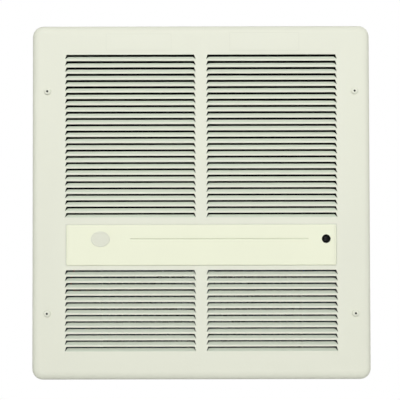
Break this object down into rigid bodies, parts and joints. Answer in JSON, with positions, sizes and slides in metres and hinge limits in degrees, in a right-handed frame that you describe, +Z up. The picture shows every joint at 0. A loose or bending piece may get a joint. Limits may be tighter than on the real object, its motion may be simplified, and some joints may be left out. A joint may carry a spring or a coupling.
{
  "type": "recessed wall fan heater",
  "caption": "Recessed wall fan heater: ivory louvred steel cover with a control plate over a back box with fan, finned element, thermostat and limit.",
  "frame": {"origin": "centre of the back box's rear outer face", "axes": "+Z up, +Y out of the back into the wall, +X to the right seen from the front; the louvred front faces -Y"},
  "size_m": [0.508, 0.1258, 0.532],
  "materials": {
    "ivory_enamel": "ivory powder coat, satin, fine orange peel",
    "cream_enamel": "cream enamel, smooth satin",
    "grey_enamel": "warm grey enamel, smooth",
    "clear_film": "thin blank polyester film on the coat",
    "galvanised_sheet": "galvanised with spangle",
    "zinc_plate": "zinc plated",
    "fan_aluminium": "rolled aluminium",
    "motor_steel": "plain steel",
    "dark_steel": "black oxide steel",
    "laminated_steel": "stacked laminations",
    "copper_metal": "copper",
    "bronze_metal": "sintered bronze",
    "element_steel": "heat-blued steel sheath and fins",
    "porcelain": "glazed ceramic",
    "black_plastic": "moulded phenolic",
    "red_plastic": "moulded red",
    "wire_black": "smooth wire cover",
    "wire_red": "smooth wire cover",
    "wire_white": "smooth wire cover",
    "wire_blue": "smooth wire cover"
  },
  "bodies": {
    "housing": {"back_box": "galvanised_sheet", "cover_rail_left": "galvanised_sheet", "cover_rail_right": "galvanised_sheet", "front_cover": "ivory_enamel", "control_panel": "cream_enamel", "badge_disc": "grey_enamel", "label_film_left": "clear_film", "label_film_right": "clear_film", "cover_screw_1": "ivory_enamel", "cover_screw_2": "ivory_enamel", "cover_screw_3": "ivory_enamel", "cover_screw_4": "ivory_enamel", "cover_clip_nut_1": "zinc_plate", "cover_clip_nut_2": "zinc_plate", "cover_clip_nut_3": "zinc_plate", "cover_clip_nut_4": "zinc_plate", "fan_deck": "galvanised_sheet", "deck_screw_left": "zinc_plate", "deck_screw_right": "zinc_plate", "motor_bracket": "galvanised_sheet", "bracket_screw_1": "zinc_plate", "bracket_screw_2": "zinc_plate", "motor_screw_1": "zinc_plate", "motor_screw_2": "zinc_plate", "motor_housing_rear": "motor_steel", "motor_housing_front": "motor_steel", "stator_core": "laminated_steel", "stator_coil_1": "copper_metal", "stator_coil_2": "copper_metal", "bearing_rear": "bronze_metal", "bearing_front": "bronze_metal", "heating_element": "element_steel", "element_bracket_left": "galvanised_sheet", "element_bracket_right": "galvanised_sheet", "outlet_baffle": "galvanised_sheet", "element_insulator_1": "porcelain", "element_insulator_2": "porcelain", "element_pin_1": "motor_steel", "element_pin_2": "motor_steel", "control_bracket": "galvanised_sheet", "thermostat_body": "black_plastic", "thermostat_capillary": "copper_metal", "bulb_clip": "zinc_plate", "limit_switch": "black_plastic", "fan_delay_switch": "black_plastic", "terminal_block": "black_plastic", "ground_screw": "zinc_plate", "line_wire": "wire_black", "limit_wire": "wire_red", "element_feed_wire": "wire_red", "element_return_wire": "wire_black", "motor_lead_left": "wire_white", "motor_lead_right": "wire_blue"},
    "fan": {"fan_blade": "fan_aluminium", "blade_nut": "zinc_plate", "motor_shaft": "motor_steel", "rotor": "laminated_steel"},
    "thermostat_stem": {"thermostat_shaft": "dark_steel"},
    "reset_button": {"limit_reset_button": "red_plastic"}
  },
  "joints": [
    {"name": "fan_spin", "type": "hinge", "parent": "housing", "child": "fan", "pos_m": [0, -0.0722, -0.1487], "axis": [0, 1, 0], "continuous": true},
    {"name": "thermostat_turn", "type": "hinge", "parent": "housing", "child": "thermostat_stem", "pos_m": [0.187, -0.107, -0.0553], "axis": [0, 1, 0], "range_deg": [0, 270]},
    {"name": "reset_press", "type": "slide", "parent": "housing", "child": "reset_button", "axis": [0, 1, 0], "range_m": [0, 0.0015], "stiffness_N_per_m": 700}
  ]
}
